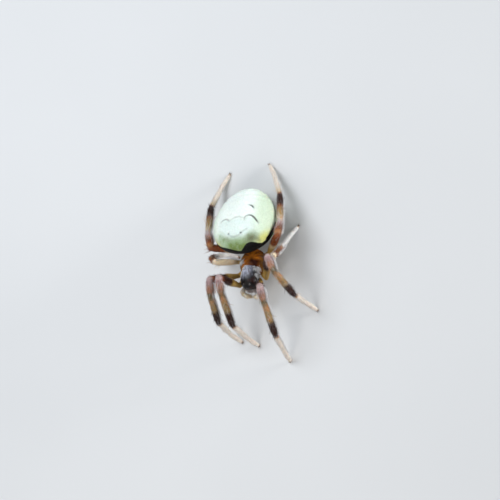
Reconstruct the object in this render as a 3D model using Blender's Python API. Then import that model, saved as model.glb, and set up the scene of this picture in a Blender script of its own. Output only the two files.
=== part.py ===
# Orb weaver spider, life size, standing on the floor.
# The head faces -Y, +X is the spider's left side and the feet stand on z = 0.
import math

import bmesh
import bpy
from mathutils import Euler, Matrix, Vector

mm = 0.001
gap = 0.04 * mm  # clearance left wherever two pieces meet

# Abdomen: half sizes of the egg, how much it narrows towards the rear, and how it is held
abdomenHalfWidth = 3.2 * mm
abdomenHalfLength = 3.6 * mm
abdomenHalfHeight = 1.9 * mm
abdomenTaper = 0.14
abdomenCentre = Vector((0, 4.1, 3.1)) * mm
abdomenPitch = 30  # degrees, front end up

# Prosoma (carapace, head, sternum and leg bases), in its own frame at the level of the leg joints
prosomaCentre = Vector((0, 0, 2.05)) * mm
prosomaYaw = -13  # degrees, to the spider's right
prosomaPitch = 11  # degrees, front end up
thoraxHalfWidth = 1.4 * mm
thoraxHalfLength = 1.45 * mm
thoraxHeight = 0.98 * mm
headHalfWidth = 0.92 * mm
headHalfLength = 1.38 * mm
headHeight = 1.12 * mm
headForward = 1.27 * mm
carapaceFloor = 0.34 * mm  # flat underside of the carapace, just over the leg bases
carapaceLevel = 0.4 * carapaceFloor  # centre of the eggs that the carapace is cut from
headPower = 2.5  # 2 would make the head round, and more makes it boxy
headTaper = 0.1
coxaInner = 0.56  # inner end of each leg base, as a share of the way out to the leg's joint
coxaDip = 0.08 * mm

eyeRadius = {"median": 0.105 * mm, "lateral": 0.085 * mm}
eyeStand = 0.55  # share of the eye's radius that stands clear of the head

# Legs: lengths of femur, patella, tibia, metatarsus and tarsus for each pair
legLengths = {
    1: (4.1, 1.6, 3.7, 2.6, 1.3),
    2: (3.9, 1.5, 3.3, 2.5, 1.2),
    3: (2.5, 1.1, 1.8, 1.6, 0.9),
    4: (3.3, 1.5, 3.3, 2.7, 1.3),
}
legGirth = {1: 1.0, 2: 0.97, 3: 0.85, 4: 0.94}
# Where each leg meets its base, sideways and along from the middle of the prosoma, in mm
legJoint = {1: (1.14, -2.2), 2: (1.46, -1.25), 3: (1.72, 0.1), 4: (1.25, 1.25)}
# Pose: (heading, pitch) of femur, patella, tibia and metatarsus, then the tarsus's heading, in degrees.
# Headings turn from straight ahead towards the spider's left. The tarsus's pitch brings it to the floor.
legPose = {
    "left_1": ((73, 68), (-7, -36), (-1, -33), (-2, -52), -10),
    "left_2": ((131, 54), (21, 9), (22, -41), (26, -68), 33),
    "left_3": ((111, 59), (170, -67), (180, -60), (154, -42), 138),
    "left_4": ((119, 45), (171, -22), (190, -32), (201, -25), 210),
    "right_1": ((-144, 82), (-14, -35), (-3, -37), (28, -53), 33),
    "right_2": ((-73, 67), (-10, -14), (-12, -44), (16, -61), 40),
    "right_3": ((-91, 55), (-126, -34), (-142, -73), (-263, -55), -293),
    "right_4": ((-102, 30), (-185, 20), (-173, -37), (-199, -35), -216),
}
# Radius in mm against the share of the segment's length
coxaProfile = ((0.0, 0.19), (0.45, 0.33), (0.72, 0.3), (1.0, 0.29))
femurProfile = ((0.0, 0.29), (0.15, 0.31), (0.4, 0.4), (0.75, 0.42), (1.0, 0.39))
patellaProfile = ((0.0, 0.39), (0.45, 0.41), (0.85, 0.35))
tibiaProfile = ((0.12, 0.34), (0.5, 0.36), (0.85, 0.33), (1.0, 0.3))
metatarsusProfile = ((0.0, 0.32), (0.3, 0.31), (0.85, 0.29))
tarsusProfile = ((0.15, 0.285), (0.6, 0.27), (1.0, 0.22))
footHeight = 0.12 * mm  # centre of the foot's round end over the floor, which cuts it to a flat

# Small parts, in mm: (start, end) of each spinneret in the abdomen's frame, the rest in the prosoma's
spinneretRows = (((0.24, 2.8, -0.9), (0.2, 3.35, -1.35)), ((0.22, 3.1, -0.55), (0.18, 3.9, -0.85)))
spinneretProfile = ((0, 0.19), (0.6, 0.18), (1, 0.12))
waistStart = (0, 1.2, -0.02)
waistReach = (0, 1.3, 0.25)
waistProfile = ((0, 0.24), (0.4, 0.2), (1, 0.28))
sternumHalf = (0.52, 0.9, 0.4)
sternumTaper = 0.25
sternumLevel = -0.1
jawRoot = (0.355, -2.0, 0.05)
jawTip = (0.35, -2.3, -0.85)
jawProfile = ((0, 0.25), (0.35, 0.32), (0.8, 0.29), (1, 0.22))
fangDrop = 0.36  # from the jaw's tip down to the fang's base
fangReach = (0.2, 0.25, -0.12)  # inwards, back and down from its base to its point
fangRadii = (0.08, 0.035)
palpRoute = ((0.5, -1.5, -0.68), (0.72, -1.9, -0.8), (0.9, -2.3, -0.68), (0.93, -2.6, -0.45),
             (0.8, -2.86, -0.45), (0.55, -2.98, -0.6), (0.26, -2.96, -0.82))
palpRadii = (0.19, 0.2, 0.22, 0.23, 0.23, 0.23, 0.19)


def clearScene():
    for obj in list(bpy.data.objects):
        bpy.data.objects.remove(obj, do_unlink=True)


def makeMaterial(name, colour, roughness):
    material = bpy.data.materials.new(name)
    material.use_nodes = True
    shader = material.node_tree.nodes["Principled BSDF"]
    shader.inputs["Base Color"].default_value = (*colour, 1.0)
    shader.inputs["Roughness"].default_value = roughness
    shader.inputs["Metallic"].default_value = 0.0
    return material


def makeMaterials():
    return {
        "abdomen": makeMaterial("pale_green_skin", (0.68, 0.78, 0.6), 0.45),
        "thorax": makeMaterial("orange_brown_shell", (0.33, 0.12, 0.03), 0.25),
        "head": makeMaterial("black_shell", (0.02, 0.018, 0.018), 0.15),
        "sternum": makeMaterial("brown_shell", (0.16, 0.07, 0.03), 0.35),
        "eye": makeMaterial("black_eye", (0.01, 0.01, 0.012), 0.05),
        "fang": makeMaterial("red_brown_fang", (0.12, 0.02, 0.01), 0.2),
        "palp": makeMaterial("tan_palp", (0.6, 0.42, 0.25), 0.5),
        "coxa": makeMaterial("yellow_leg_base", (0.55, 0.34, 0.1), 0.4),
        "femur": makeMaterial("dark_femur", (0.09, 0.035, 0.02), 0.3),
        "tibia": makeMaterial("tan_tibia", (0.5, 0.27, 0.13), 0.45),
        "foot": makeMaterial("cream_foot", (0.72, 0.6, 0.48), 0.55),
    }


def onProsoma(x, y, z):
    turn = Euler((-math.radians(prosomaPitch), 0, math.radians(prosomaYaw)), "XYZ").to_matrix()
    return prosomaCentre + turn @ Vector((x, y, z))


def direction(heading, pitch):
    heading, pitch = math.radians(heading), math.radians(pitch)
    level = math.cos(pitch)
    return Vector((math.sin(heading) * level, -math.cos(heading) * level, math.sin(pitch)))


def addPart(name, mesh, location, rotation, material, parts):
    mesh.shade_smooth()
    mesh.set_sharp_from_angle(angle=math.radians(50))
    mesh.materials.append(material)
    part = bpy.data.objects.new(name, mesh)
    part.location = location
    part.rotation_euler = rotation
    parts.objects.link(part)
    return part


def cutAway(bm, point, normal):
    # Removes what lies beyond the plane and closes the cut with a flat face
    everything = list(bm.verts) + list(bm.edges) + list(bm.faces)
    cut = bmesh.ops.bisect_plane(
        bm, geom=everything, dist=1e-9, plane_co=point, plane_no=normal, clear_outer=True
    )
    rim = [item for item in cut["geom_cut"] if isinstance(item, bmesh.types.BMEdge)]
    bmesh.ops.holes_fill(bm, edges=rim, sides=0)


def blobMesh(name, shape, segments, rings, cuts=()):
    # A sphere with its poles fore and aft, each point moved by shape(unit direction)
    bm = bmesh.new()
    poles = Matrix.Rotation(math.radians(90), 3, "X")
    bmesh.ops.create_uvsphere(bm, u_segments=segments, v_segments=rings, radius=1.0, matrix=poles.to_4x4())
    for vert in bm.verts:
        vert.co = shape(vert.co.normalized())
    for point, normal in cuts:
        cutAway(bm, point, normal)
    bmesh.ops.recalc_face_normals(bm, faces=bm.faces)
    mesh = bpy.data.meshes.new(name)
    bm.to_mesh(mesh)
    bm.free()
    return mesh


def tubeMesh(name, stations, origin, cuts=()):
    # A round tube through (point, radius) stations, as a curve made into a closed mesh
    curve = bpy.data.curves.new(name + "_path", "CURVE")
    curve.dimensions = "3D"
    curve.twist_mode = "MINIMUM"
    curve.bevel_depth = 1.0
    curve.bevel_resolution = 2
    curve.use_fill_caps = True
    spline = curve.splines.new("POLY")
    spline.points.add(len(stations) - 1)
    for place, (point, radius) in zip(spline.points, stations):
        place.co = (*(point - origin), 1.0)
        place.radius = radius
    tube = bpy.data.objects.new(name + "_path", curve)
    bpy.context.scene.collection.objects.link(tube)
    bpy.context.view_layer.update()
    mesh = bpy.data.meshes.new_from_object(tube.evaluated_get(bpy.context.evaluated_depsgraph_get()))
    mesh.name = name
    bpy.data.objects.remove(tube, do_unlink=True)
    bm = bmesh.new()
    bm.from_mesh(mesh)
    bmesh.ops.remove_doubles(bm, verts=bm.verts, dist=1e-8)
    for point, normal in cuts:
        cutAway(bm, point - origin, normal)
    bmesh.ops.recalc_face_normals(bm, faces=bm.faces)
    bm.to_mesh(mesh)
    bm.free()
    mesh.materials.clear()
    return mesh


def roundedStations(stations):
    # Adds a round end to each end of a tube
    turns = (75, 38)
    start, startRadius = stations[0]
    end, endRadius = stations[-1]
    back = (start - stations[1][0]).normalized() * startRadius
    onward = (end - stations[-2][0]).normalized() * endRadius
    reaches = [(math.sin(math.radians(turn)), math.cos(math.radians(turn))) for turn in turns]
    first = [(start + back * out, startRadius * across) for out, across in reaches]
    last = [(end + onward * out, endRadius * across) for out, across in reversed(reaches)]
    return first + list(stations) + last


def alongSegment(start, end, profile, girth):
    return [(start.lerp(end, share), radius * girth * mm) for share, radius in profile]


def jointCut(point, before, after, side):
    # The plane that halves the bend at a joint, moved by half the clearance to keep one side
    normal = (before + after).normalized() * side
    return (point - normal * gap / 2, normal)


def egg(point):
    width = abdomenHalfWidth * (1 - abdomenTaper * point.y)
    height = abdomenHalfHeight * (1 - abdomenTaper / 2 * point.y)
    return Vector((point.x * width, point.y * abdomenHalfLength, point.z * height))


def makeAbdomen(materials, parts):
    mesh = blobMesh("abdomen", egg, 28, 18)
    tilt = (-math.radians(abdomenPitch), 0, 0)
    return addPart("abdomen", mesh, abdomenCentre, tilt, materials["abdomen"], parts)


def onAbdomen(x, y, z):
    return abdomenCentre + Euler((-math.radians(abdomenPitch), 0, 0)).to_matrix() @ Vector((x, y, z))


def makeSpinnerets(clearance, materials, parts):
    # Two pairs of short cones at the rear of the belly
    for side, name in ((1, "left"), (-1, "right")):
        for row, (start, end) in enumerate(spinneretRows, 1):
            root, tip = (onAbdomen(side * x * mm, y * mm, z * mm) for x, y, z in (start, end))
            stations = roundedStations(alongSegment(root, tip, spinneretProfile, 1.0))
            label = f"spinneret_{name}_{row}"
            spinneret = addPart(label, tubeMesh(label, stations, root), root, (0, 0, 0),
                                materials["sternum"], parts)
            subtract(spinneret, clearance)


def thoraxShape(point):
    return Vector((point.x * thoraxHalfWidth, point.y * thoraxHalfLength,
                   carapaceLevel + point.z * thoraxHeight))


def headShape(point, margin=0.0):
    # A box-like egg, fullest across the eyes, and larger by the margin for a cutter
    reach = sum(abs(value) ** headPower for value in point) ** (-1 / headPower)
    front = 1 - headTaper * point.y
    return Vector((point.x * reach * (headHalfWidth + margin) * front,
                   point.y * reach * (headHalfLength + margin) - headForward,
                   carapaceLevel + point.z * reach * (headHeight + margin)))


def prosomaTurn():
    return (-math.radians(prosomaPitch), 0, math.radians(prosomaYaw))


def makeCarapace(materials, parts):
    under = ((Vector((0, 0, carapaceFloor)), Vector((0, 0, -1))),)
    thorax = addPart("thorax", blobMesh("thorax", thoraxShape, 24, 14, under), prosomaCentre, prosomaTurn(),
                     materials["thorax"], parts)
    head = addPart("head", blobMesh("head", headShape, 20, 14, under), prosomaCentre, prosomaTurn(),
                   materials["head"], parts)
    return thorax, head


def makeSternum(materials, parts):
    def shield(point):
        width, length, height = sternumHalf
        width *= 1 - sternumTaper * point.y
        return Vector((point.x * width, point.y * length, sternumLevel + point.z * height)) * mm

    mesh = blobMesh("sternum", shield, 14, 10)
    return addPart("sternum", mesh, prosomaCentre, prosomaTurn(), materials["sternum"], parts)


def cutterFrom(shape, name, location, rotation, scale, cutters):
    # A slightly larger copy of a neighbour, which leaves the clearance round it
    cutter = bpy.data.objects.new(name, shape.copy())
    cutter.location = location
    cutter.rotation_euler = rotation
    cutter.scale = (scale,) * 3
    cutter.hide_render = True
    cutter.display_type = "WIRE"
    cutters.objects.link(cutter)
    return cutter


def subtract(part, cutter):
    cut = part.modifiers.new("cut_" + cutter.name, "BOOLEAN")
    cut.operation = "DIFFERENCE"
    cut.object = cutter
    cut.solver = "EXACT"


def makeEyes(head, materials, parts, cutters):
    # Four middle eyes in a square and a close pair at each corner of the head
    places = {"front_middle": (17, 20, "median"), "rear_middle": (24, 45, "median"),
              "front_side": (52, 22, "lateral"), "rear_side": (62, 36, "lateral")}
    for label, (bearing, height, kind) in places.items():
        radius = eyeRadius[kind]
        for side, name in ((1, "left"), (-1, "right")):
            outward = direction(side * bearing, height)
            place = headShape(outward) - outward * radius * (1 - eyeStand)
            centre = onProsoma(*place)
            bm = bmesh.new()
            bmesh.ops.create_uvsphere(bm, u_segments=10, v_segments=6, radius=radius)
            mesh = bpy.data.meshes.new(f"eye_{label}_{name}")
            bm.to_mesh(mesh)
            bm.free()
            eye = addPart(mesh.name, mesh, centre, (0, 0, 0), materials["eye"], parts)
            growth = 1 + gap / 2 / radius
            socket = cutterFrom(mesh, eye.name + "_socket", centre, (0, 0, 0), growth, cutters)
            subtract(head, socket)


def makeJaws(materials, parts):
    for side, name in ((1, "left"), (-1, "right")):
        root, tip = (onProsoma(side * x * mm, y * mm, z * mm) for x, y, z in (jawRoot, jawTip))
        stations = roundedStations(alongSegment(root, tip, jawProfile, 1.0))
        top = (onProsoma(0, 0, carapaceFloor - gap), onProsoma(0, 0, 1) - onProsoma(0, 0, 0))
        label = "chelicera_" + name
        mesh = tubeMesh(label, stations, root, (top,))
        addPart(label, mesh, root, (0, 0, 0), materials["head"], parts)
        base = tip + direction(0, -60) * fangDrop * mm
        inward, back, down = fangReach
        point = base + Vector((-side * inward, back, down)) * mm
        label = "fang_" + name
        stations = [(place, radius * mm) for place, radius in zip((base, point), fangRadii)]
        mesh = tubeMesh(label, roundedStations(stations), base)
        addPart(label, mesh, base, (0, 0, 0), materials["fang"], parts)


def makePalps(materials, parts):
    # Short feelers beside the jaws, their tips turned in before the jaws
    for side, name in ((1, "left"), (-1, "right")):
        stations = [(onProsoma(side * x * mm, y * mm, z * mm), radius * mm)
                    for (x, y, z), radius in zip(palpRoute, palpRadii)]
        label = "palp_" + name
        mesh = tubeMesh(label, roundedStations(stations), stations[0][0])
        addPart(label, mesh, stations[0][0], (0, 0, 0), materials["palp"], parts)


def makePedicel(clearance, materials, parts):
    # The narrow waist, which runs up to the abdomen
    start = onProsoma(*(Vector(waistStart) * mm))
    end = start + Vector(waistReach) * mm
    stations = roundedStations(alongSegment(start, end, waistProfile, 1.0))
    pedicel = addPart("pedicel", tubeMesh("pedicel", stations, start), start, (0, 0, 0),
                      materials["sternum"], parts)
    subtract(pedicel, clearance)


def legJoints(name):
    pair = int(name[-1])
    side = 1 if name.startswith("left") else -1
    out, along = (value * mm for value in legJoint[pair])
    joints = [onProsoma(side * out * share, along * share, height)
              for share, height in ((coxaInner, -coxaDip), (1, 0))]
    lengths = [length * mm for length in legLengths[pair]]
    *held, tarsusHeading = legPose[name]
    for length, (heading, pitch) in zip(lengths, held):
        joints.append(joints[-1] + direction(heading, pitch) * length)
    fall = math.degrees(math.asin((joints[-1].z - footHeight) / lengths[-1]))
    joints.append(joints[-1] + direction(tarsusHeading, -fall) * lengths[-1])
    return joints, legGirth[pair]


def makeLeg(name, materials, parts):
    joints, girth = legJoints(name)
    inner, hip, knee, shin, ankle, toe, tip = joints
    ways = [(end - start).normalized() for start, end in zip(joints, joints[1:])]
    pieces = {
        "coxa": (alongSegment(inner, hip, coxaProfile, girth), (jointCut(hip, ways[0], ways[1], 1),)),
        "femur": (alongSegment(hip, knee, femurProfile, girth),
                  (jointCut(hip, ways[0], ways[1], -1), jointCut(knee, ways[1], ways[2], 1))),
        "tibia": (alongSegment(knee, shin, patellaProfile, girth)
                  + alongSegment(shin, ankle, tibiaProfile, girth),
                  (jointCut(knee, ways[1], ways[2], -1), jointCut(ankle, ways[3], ways[4], 1))),
        "foot": (alongSegment(ankle, toe, metatarsusProfile, girth)
                 + alongSegment(toe, tip, tarsusProfile, girth),
                 (jointCut(ankle, ways[3], ways[4], -1), (Vector((0, 0, 0)), Vector((0, 0, -1))))),
    }
    for label, (stations, cuts) in pieces.items():
        label = f"{label}_{name}"
        start = stations[0][0]
        mesh = tubeMesh(label, roundedStations(stations), start, cuts)
        addPart(label, mesh, start, (0, 0, 0), materials[label.split("_")[0]], parts)


def centreOnFloor(parts, cutters):
    # Moves the whole spider so that the middle of its bounding box stands over the origin
    bpy.context.view_layer.update()
    corners = [part.matrix_world @ vert.co for part in parts.objects for vert in part.data.vertices]
    middle = [(min(c[axis] for c in corners) + max(c[axis] for c in corners)) / 2 for axis in (0, 1)]
    for obj in list(parts.objects) + list(cutters.objects):
        obj.location -= Vector((*middle, 0))


def main():
    clearScene()
    parts = bpy.data.collections.new("orb_weaver_spider")
    cutters = bpy.data.collections.new("cutters")
    bpy.context.scene.collection.children.link(parts)
    bpy.context.scene.collection.children.link(cutters)
    materials = makeMaterials()
    abdomen = makeAbdomen(materials, parts)
    clearance = cutterFrom(abdomen.data, "abdomen_clearance", abdomen.location, abdomen.rotation_euler,
                           1 + gap / abdomenHalfHeight, cutters)
    makeSpinnerets(clearance, materials, parts)
    makePedicel(clearance, materials, parts)
    thorax, head = makeCarapace(materials, parts)
    clearance = blobMesh("head_clearance", lambda point: headShape(point, gap), 20, 14)
    subtract(thorax, cutterFrom(clearance, "head_clearance", prosomaCentre, prosomaTurn(), 1.0, cutters))
    makeEyes(head, materials, parts, cutters)
    makeSternum(materials, parts)
    makeJaws(materials, parts)
    makePalps(materials, parts)
    for name in legPose:
        makeLeg(name, materials, parts)
    centreOnFloor(parts, cutters)


main()
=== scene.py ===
import math

import bpy
import numpy as np
from mathutils import Euler, Matrix, Vector, noise


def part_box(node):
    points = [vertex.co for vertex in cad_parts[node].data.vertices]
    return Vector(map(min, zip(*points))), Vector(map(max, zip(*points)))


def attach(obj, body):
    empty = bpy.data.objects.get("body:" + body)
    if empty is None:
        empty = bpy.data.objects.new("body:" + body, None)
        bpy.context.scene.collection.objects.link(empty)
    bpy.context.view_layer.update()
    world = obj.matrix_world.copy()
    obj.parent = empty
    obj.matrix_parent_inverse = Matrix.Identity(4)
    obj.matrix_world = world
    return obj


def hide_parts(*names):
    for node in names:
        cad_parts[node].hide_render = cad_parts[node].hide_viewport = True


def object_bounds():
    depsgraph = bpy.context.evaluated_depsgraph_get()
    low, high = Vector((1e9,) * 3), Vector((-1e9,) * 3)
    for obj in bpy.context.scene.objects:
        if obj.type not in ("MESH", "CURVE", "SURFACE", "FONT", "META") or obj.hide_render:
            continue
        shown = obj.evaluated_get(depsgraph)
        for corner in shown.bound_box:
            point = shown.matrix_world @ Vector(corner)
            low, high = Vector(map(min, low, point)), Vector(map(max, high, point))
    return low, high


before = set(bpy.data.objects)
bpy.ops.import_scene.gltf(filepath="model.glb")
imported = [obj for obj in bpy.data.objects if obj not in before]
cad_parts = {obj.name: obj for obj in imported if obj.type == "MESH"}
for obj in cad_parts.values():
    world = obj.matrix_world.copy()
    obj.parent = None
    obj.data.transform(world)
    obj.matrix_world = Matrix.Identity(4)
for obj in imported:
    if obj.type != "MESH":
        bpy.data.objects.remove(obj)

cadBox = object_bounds()
scene = bpy.context.scene
scene.view_settings.view_transform = "Standard"
rng = np.random.default_rng(41)
mm = 0.001  # everything below is worked out in millimetres and made in metres
cadLow, cadHigh = (np.array(corner) / mm for corner in cadBox)
sides = {"left": 1, "right": -1}

# The driving dimensions that the solids were made from
body = {
    "abdomenHalf": (3.2, 3.6, 1.9),
    "abdomenTaper": 0.14,
    "abdomenCentre": (0, 4.1, 3.1),
    "abdomenPitch": 30,
    "eggGrid": (28, 18),  # the solid's faces round the egg and along it
    "prosomaCentre": (0, 0, 2.05),
    "prosomaYaw": -13,
    "prosomaPitch": 11,
    "carapaceFloor": 0.34,
    "coatDepth": 0.045,  # how far the skin lies inside the solids
}
leg = {
    "lengths": {
        1: (4.1, 1.6, 3.7, 2.6, 1.3),
        2: (3.9, 1.5, 3.3, 2.5, 1.2),
        3: (2.5, 1.1, 1.8, 1.6, 0.9),
        4: (3.3, 1.5, 3.3, 2.7, 1.3),
    },
    "girth": {1: 1.0, 2: 0.97, 3: 0.85, 4: 0.94},
    "hip": {1: (1.14, -2.2), 2: (1.46, -1.25), 3: (1.72, 0.1), 4: (1.25, 1.25)},
    "coxaInner": 0.56,
    "coxaDrop": 0.08,
    "footHeight": 0.12,
    # heading and pitch of the femur, patella, tibia and metatarsus, and the heading of the tarsus
    "pose": {
        "left_1": ((73, 68), (-7, -36), (-1, -33), (-2, -52), -10),
        "left_2": ((131, 54), (21, 9), (22, -41), (26, -68), 33),
        "left_3": ((111, 59), (170, -67), (180, -60), (154, -42), 138),
        "left_4": ((119, 45), (171, -22), (190, -32), (201, -25), 210),
        "right_1": ((-144, 82), (-14, -35), (-3, -37), (28, -53), 33),
        "right_2": ((-73, 67), (-10, -14), (-12, -44), (16, -61), 40),
        "right_3": ((-91, 55), (-126, -34), (-142, -73), (-263, -55), -293),
        "right_4": ((-102, 30), (-185, 20), (-173, -37), (-199, -35), -216),
    },
    # radius against the share of each segment, with the necks at the joints that the solids leave out
    "profile": (
        ((0.0, 0.19), (0.45, 0.33), (0.72, 0.30), (1.0, 0.27)),
        ((0.0, 0.25), (0.06, 0.29), (0.15, 0.31), (0.4, 0.40), (0.75, 0.42), (0.93, 0.39), (1.0, 0.34)),
        ((0.0, 0.34), (0.12, 0.385), (0.45, 0.41), (0.85, 0.36), (1.0, 0.31)),
        ((0.0, 0.30), (0.12, 0.34), (0.5, 0.36), (0.85, 0.345), (0.95, 0.32), (1.0, 0.27)),
        ((0.0, 0.27), (0.08, 0.305), (0.3, 0.31), (0.85, 0.285), (1.0, 0.27)),
        ((0.0, 0.27), (0.15, 0.285), (0.6, 0.27), (1.0, 0.21)),
    ),
}
palp = {
    "route": ((0.5, -1.5, -0.68), (0.72, -1.9, -0.8), (0.9, -2.3, -0.68), (0.93, -2.6, -0.45),
              (0.8, -2.86, -0.45), (0.55, -2.98, -0.6), (0.26, -2.96, -0.82)),
    "radii": (0.19, 0.2, 0.22, 0.23, 0.23, 0.23, 0.19),
    "inset": 0.03,
    "necks": ((0.9, 0.16), (2.4, 0.14), (3.6, 0.14), (4.5, 0.12)),  # place and width
    "neckDepth": 0.035,
    "tones": ((0, "ochre"), (1, "sand"), (2.2, "ivory"), (3, "bone"), (4, "ivory"), (4.5, "bone"),
              (5.3, "ivory"), (6, "sand")),
}


def unit(vectors):
    vectors = np.asarray(vectors, float)
    return vectors / np.maximum(np.linalg.norm(vectors, axis=-1, keepdims=True), 1e-9)


def smooth(low, high, value):
    # 0 below low, 1 above high, and eased in between; the other way round where low is the larger
    share = np.clip((value - low) / (high - low), 0, 1)
    return share * share * (3 - 2 * share)


def bump(value, centre, width):
    return np.exp(-(((value - centre) / width) ** 2))


def follow(run, places):
    # The value at each place of a run of (place, value) pairs
    return np.interp(places, *zip(*run))


def rough(points, scale, seed=0):
    # Soft noise from -1 to 1 at each point
    moved = np.asarray(points) * scale + seed * 17.3
    return np.array([noise.noise(Vector(point)) for point in moved])


def direction(heading, pitch):
    heading, pitch = math.radians(heading), math.radians(pitch)
    level = math.cos(pitch)
    return np.array((math.sin(heading) * level, -math.cos(heading) * level, math.sin(pitch)))


def tubeFaces(rings, around):
    # Quads between the rings, and a fan to the last two points, which close the ends
    faces = []
    for ring in range(rings - 1):
        for side in range(around):
            here, onward = ring * around + side, ring * around + (side + 1) % around
            faces.append((here, onward, onward + around, here + around))
    first, last, end = rings * around, rings * around + 1, (rings - 1) * around
    for side in range(around):
        faces.append((first, (side + 1) % around, side))
        faces.append((last, end + side, end + (side + 1) % around))
    return faces


def sphereGrid(around, along):
    # Unit directions of a closed grid whose poles point fore and aft, and its faces
    tilt = np.linspace(0, math.pi, along + 1)[1:-1]
    turn = np.linspace(0, 2 * math.pi, around, endpoint=False)
    tilt, turn = (grid.ravel() for grid in np.meshgrid(tilt, turn, indexing="ij"))
    rings = np.stack((np.sin(tilt) * np.sin(turn), -np.cos(tilt), np.sin(tilt) * np.cos(turn)), 1)
    return np.vstack((rings, ((0, -1, 0), (0, 1, 0)))), tubeFaces(along - 1, around)


def sweep(points, radii, around=20):
    # A closed tube along the points, carried without twist, with its two ends drawn to a point
    points, radii = np.asarray(points, float), np.asarray(radii, float)
    ways = unit(np.gradient(points, axis=0))
    side = unit(np.cross(ways[0], (0.31, 0.17, 0.93)))
    turn = np.linspace(0, 2 * math.pi, around, endpoint=False)
    rings = []
    for point, way, radius in zip(points, ways, radii):
        side = unit(side - way * (side @ way))
        other = np.cross(way, side)
        rings.append(point + radius * (np.outer(np.cos(turn), side) + np.outer(np.sin(turn), other)))
    ends = (points[0] - ways[0] * radii[0] * 0.2, points[-1] + ways[-1] * radii[-1] * 0.2)
    return np.vstack((*rings, ends)), tubeFaces(len(points), around)


def rounded(points, radii):
    # Adds a round end before the first and after the last station
    points, radii = [np.asarray(point, float) for point in points], list(radii)
    turns = [math.radians(turn) for turn in (20, 40, 60, 78)]
    caps = []
    for point, inner, radius in ((points[0], points[1], radii[0]), (points[-1], points[-2], radii[-1])):
        way = unit(point - inner)
        caps.append([(point + way * radius * math.sin(turn), radius * math.cos(turn)) for turn in turns])
    stations = caps[0][::-1] + list(zip(points, radii)) + caps[1]
    return tuple(np.array(column) for column in zip(*stations))


def curveThrough(points, count):
    # A smooth path through a few points, as a Catmull-Rom curve
    points = np.asarray(points, float)
    ends = np.vstack((2 * points[0] - points[1], points, 2 * points[-1] - points[-2]))
    places = np.linspace(0, len(points) - 1, count)
    first = np.minimum(places.astype(int), len(points) - 2)
    t = (places - first)[:, None]
    a, b, c, d = (ends[first + step] for step in range(4))
    return 0.5 * (2 * b + (c - a) * t + (2 * a - 5 * b + 4 * c - d) * t**2 + (3 * b - a - 3 * c + d) * t**3)


def joined(parts):
    # Many pairs of points and faces as one pair
    points, faces, count = [], [], 0
    for partPoints, partFaces in parts:
        points.append(partPoints)
        faces += [tuple(index + count for index in face) for face in partFaces]
        count += len(partPoints)
    return np.vstack(points), faces


def readPoints(mesh, kind="co"):
    values = np.zeros(len(mesh.vertices) * 3)
    mesh.vertices.foreach_get(kind, values)
    return values.reshape(-1, 3)


def addPiece(name, mesh, finish=None):
    if finish is not None:
        mesh.materials.append(finish)
    mesh.shade_smooth()
    piece = bpy.data.objects.new(name, mesh)
    scene.collection.objects.link(piece)
    return piece


def makePiece(name, points, faces, finish=None):
    mesh = bpy.data.meshes.new(name)
    mesh.from_pydata((np.asarray(points) * mm).tolist(), [], faces)
    mesh.validate()
    return addPiece(name, mesh, finish)


def paint(piece, **values):
    # Keeps one number or colour for each point of the mesh, for the finish to read
    for name, value in values.items():
        kind, field = ("FLOAT", "value") if value.ndim == 1 else ("FLOAT_COLOR", "color")
        if value.ndim == 2:
            value = np.hstack((value, np.ones((len(value), 1))))
        attribute = piece.data.attributes.new(name, kind, "POINT")
        attribute.data.foreach_set(field, value.astype(np.float32).ravel())


def ridePiece(piece, slot, *nodes):
    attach(piece, "root")
    if nodes:
        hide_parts(*nodes)
    return piece


def makePart(name, slot, nodes, finish, points, faces, colours=None):
    # A piece that stands for one or more of the solids, or for none
    piece = makePiece(name, points, faces, finish)
    if colours is not None:
        paint(piece, tone=colours)
    print(f"{name}: {len(faces)} faces")
    return ridePiece(piece, slot, *nodes)


# Placing: the abdomen and the prosoma each have a frame of their own
def turned(pitch, yaw=0):
    return np.array(Euler((-math.radians(pitch), 0, math.radians(yaw)), "XYZ").to_matrix())


abdomenTurn = turned(body["abdomenPitch"])
prosomaTurn = turned(body["prosomaPitch"], body["prosomaYaw"])


def eggWidths(along, half):
    # The egg's half width and half height, from its front (-1) to its rear (1)
    taper = body["abdomenTaper"]
    return half[0] * (1 - taper * along), half[2] * (1 - taper / 2 * along)


def eggShape(directions, inset=0.0):
    half = np.array(body["abdomenHalf"]) - inset
    x, y, z = directions.T
    wide, tall = eggWidths(y, half)
    return np.stack((x * wide, y * half[1], z * tall), 1)


def findShift():
    # The solids stand with the middle of their box over the origin: the abdomen's box gives the move
    low, high = (np.array(corner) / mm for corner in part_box("abdomen"))
    directions, _ = sphereGrid(*body["eggGrid"])
    points = eggShape(directions) @ abdomenTurn.T + np.array(body["abdomenCentre"])
    shift = (low + high) / 2 - (points.min(0) + points.max(0)) / 2
    return np.array((shift[0], shift[1], 0.0))


shift = findShift()
abdomenCentre = np.array(body["abdomenCentre"]) + shift
prosomaCentre = np.array(body["prosomaCentre"]) + shift


def onAbdomen(points):
    return np.asarray(points, float) @ abdomenTurn.T + abdomenCentre


def onProsoma(points):
    return np.asarray(points, float) @ prosomaTurn.T + prosomaCentre


def fromAbdomen(points):
    return (points - abdomenCentre) @ abdomenTurn


def fromProsoma(points):
    return (points - prosomaCentre) @ prosomaTurn


def onEgg(points):
    # Back from the model to a share of the egg: x to its left, y to its rear, z up
    x, y, z = fromAbdomen(points).T
    along = y / body["abdomenHalf"][1]
    wide, tall = eggWidths(along, body["abdomenHalf"])
    return np.stack((x / wide, along, z / tall), 1)


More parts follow.
